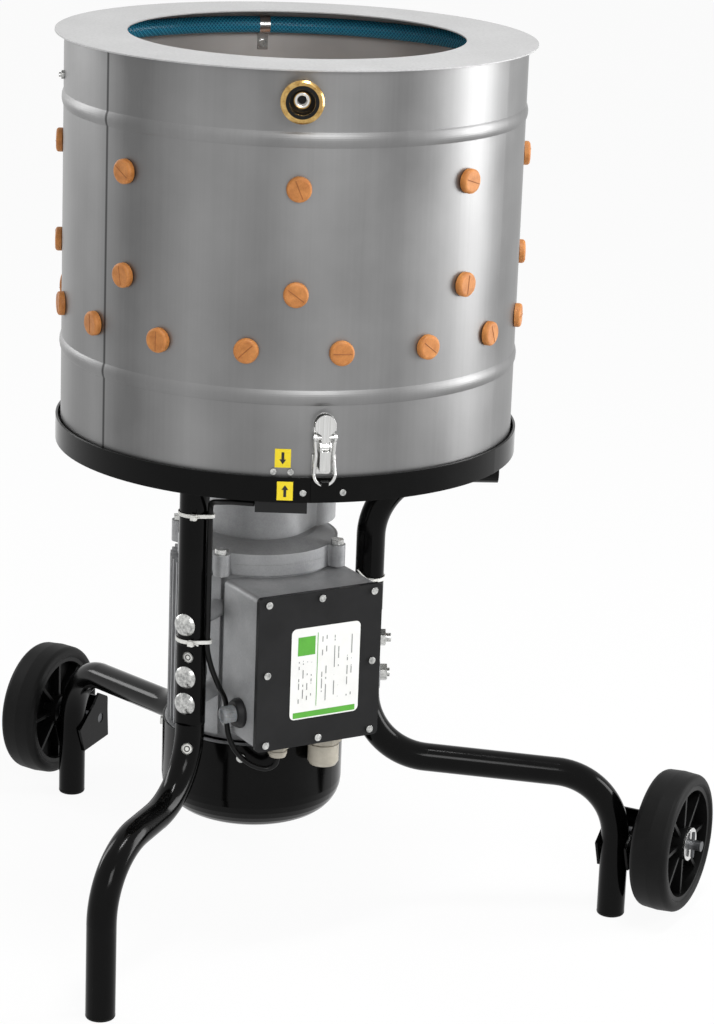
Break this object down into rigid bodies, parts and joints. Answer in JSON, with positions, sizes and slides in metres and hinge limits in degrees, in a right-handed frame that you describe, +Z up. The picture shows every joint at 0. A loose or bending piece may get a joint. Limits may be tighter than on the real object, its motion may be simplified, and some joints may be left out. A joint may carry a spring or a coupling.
{
  "type": "drum poultry plucker",
  "caption": "Drum poultry plucker: steel drum lined with rubber fingers over a spinning finger plate, geared motor, control box, tripod of bent tube and transport wheels.",
  "frame": {"origin": "on the floor, under the middle of the overall bounding box", "axes": "+Z up along the drum axis, +X to the right wheel, -Y towards the front leg"},
  "size_m": [0.9084, 0.667, 0.9935],
  "materials": {
    "black_enamel": "gloss black powder coat on tube and sheet",
    "stainless_satin": "satin rolled stainless sheet",
    "stainless_bright": "bright pressed stainless",
    "zinc_steel": "zinc plated fasteners",
    "dark_steel": "turned steel",
    "cast_aluminium": "as-cast, lightly blasted",
    "amber_rubber": "moulded natural rubber",
    "tyre_rubber": "moulded black rubber",
    "hub_plastic": "moulded black plastic",
    "black_plastic": "satin black moulding",
    "black_rubber": "moulded rubber",
    "hose_blue": "braided clear hose with a blue core",
    "brass_turned": "turned brass",
    "cream_nylon": "moulded nylon",
    "white_nylon": "moulded nylon",
    "grey_plastic": "translucent grey moulding",
    "winding": "laminations and copper winding"
  },
  "bodies": {
    "frame": {"base_ring": "black_enamel", "front_upper_leg": "black_enamel", "right_upper_leg": "black_enamel", "left_upper_leg": "black_enamel", "front_lower_leg": "black_enamel", "right_lower_leg": "black_enamel", "left_lower_leg": "black_enamel", "foot_plugs": "black_rubber", "leg_bolts": "zinc_steel", "leg_nuts": "zinc_steel", "saddle_washers": "cast_aluminium", "right_wheel_bracket": "black_enamel", "left_wheel_bracket": "black_enamel", "wheel_axles": "dark_steel", "axle_washers": "zinc_steel", "drum_shell": "stainless_satin", "rim_ring": "stainless_satin", "fingers_top": "amber_rubber", "fingers_middle": "amber_rubber", "fingers_bottom": "amber_rubber", "inlet_fitting": "brass_turned", "inlet_locknut": "brass_turned", "hose_ring": "hose_blue", "hose_clips": "stainless_bright", "drum_screws": "zinc_steel", "latch_plates": "stainless_bright", "latch_keepers": "stainless_bright", "safety_sensor": "black_plastic", "sensor_magnet": "black_plastic", "sensor_lead": "black_rubber", "cable_ties": "white_nylon", "gear_case": "cast_aluminium", "case_bolts": "zinc_steel", "ball_bearings": "dark_steel", "shaft_seal": "black_rubber", "motor_housing": "cast_aluminium", "stator": "winding", "fan_cover": "black_enamel", "pan_screws": "zinc_steel", "box_base": "cast_aluminium", "box_cover": "black_plastic", "button_bezel": "black_plastic", "cable_glands": "cream_nylon"},
    "plate": {"output_shaft": "dark_steel", "output_gear": "dark_steel", "rotor_plate": "stainless_satin", "plate_fingers": "amber_rubber"},
    "motor_rotor": {"motor_shaft": "dark_steel", "cooling_fan": "black_plastic"},
    "right_wheel": {"right_wheel_hub": "hub_plastic", "right_tyre": "tyre_rubber"},
    "left_wheel": {"left_wheel_hub": "hub_plastic", "left_tyre": "tyre_rubber"},
    "button": {"push_button": "grey_plastic"},
    "lever_front": {"latch_lever_front": "stainless_bright"},
    "bail_front": {"latch_bail_front": "stainless_bright"},
    "lever_right": {"latch_lever_right": "stainless_bright"},
    "bail_right": {"latch_bail_right": "stainless_bright"},
    "lever_left": {"latch_lever_left": "stainless_bright"},
    "bail_left": {"latch_bail_left": "stainless_bright"}
  },
  "joints": [
    {"name": "plate_spin", "type": "hinge", "parent": "frame", "child": "plate", "pos_m": [0, 0.0665, 0.575], "axis": [0, 0, 1], "continuous": true},
    {"name": "motor_spin", "type": "hinge", "parent": "frame", "child": "motor_rotor", "pos_m": [0, 0.008, 0.3], "axis": [0, 0, 1], "continuous": true},
    {"name": "right_wheel_spin", "type": "hinge", "parent": "frame", "child": "right_wheel", "pos_m": [0.4177, 0.2525, 0.0895], "axis": [1, 0, 0], "continuous": true},
    {"name": "left_wheel_spin", "type": "hinge", "parent": "frame", "child": "left_wheel", "pos_m": [-0.4177, 0.2525, 0.0895], "axis": [1, 0, 0], "continuous": true},
    {"name": "button_push", "type": "slide", "parent": "frame", "child": "button", "axis": [0.5592, 0.829, 0], "range_m": [0, 0.004], "stiffness_N_per_m": 800},
    {"name": "lever_front_swing", "type": "hinge", "parent": "frame", "child": "lever_front", "pos_m": [0.15346, -0.14089, 0.606], "axis": [0.8039, 0.5948, 0], "range_deg": [0, 90]},
    {"name": "bail_front_swing", "type": "hinge", "parent": "lever_front", "child": "bail_front", "pos_m": [0.15346, -0.14089, 0.616], "axis": [0.8039, 0.5948, 0], "range_deg": [-75.6, 0]},
    {"name": "lever_right_swing", "type": "hinge", "parent": "frame", "child": "lever_right", "pos_m": [0.10288, 0.3031, 0.606], "axis": [-0.9171, 0.3987, 0], "range_deg": [0, 90]},
    {"name": "bail_right_swing", "type": "hinge", "parent": "lever_right", "child": "bail_right", "pos_m": [0.10288, 0.3031, 0.616], "axis": [-0.9171, 0.3987, 0], "range_deg": [-75.6, 0]},
    {"name": "lever_left_swing", "type": "hinge", "parent": "frame", "child": "lever_left", "pos_m": [-0.25634, 0.03729, 0.606], "axis": [0.1132, -0.9936, 0], "range_deg": [0, 90]},
    {"name": "bail_left_swing", "type": "hinge", "parent": "lever_left", "child": "bail_left", "pos_m": [-0.25634, 0.03729, 0.616], "axis": [0.1132, -0.9936, 0], "range_deg": [-75.6, 0]}
  ],
  "couplings": [
    {"joint": "motor_spin", "follows": "plate_spin", "ratio": -5},
    {"joint": "bail_front_swing", "follows": "lever_front_swing", "ratio": -0.84},
    {"joint": "bail_right_swing", "follows": "lever_right_swing", "ratio": -0.84},
    {"joint": "bail_left_swing", "follows": "lever_left_swing", "ratio": -0.84}
  ]
}
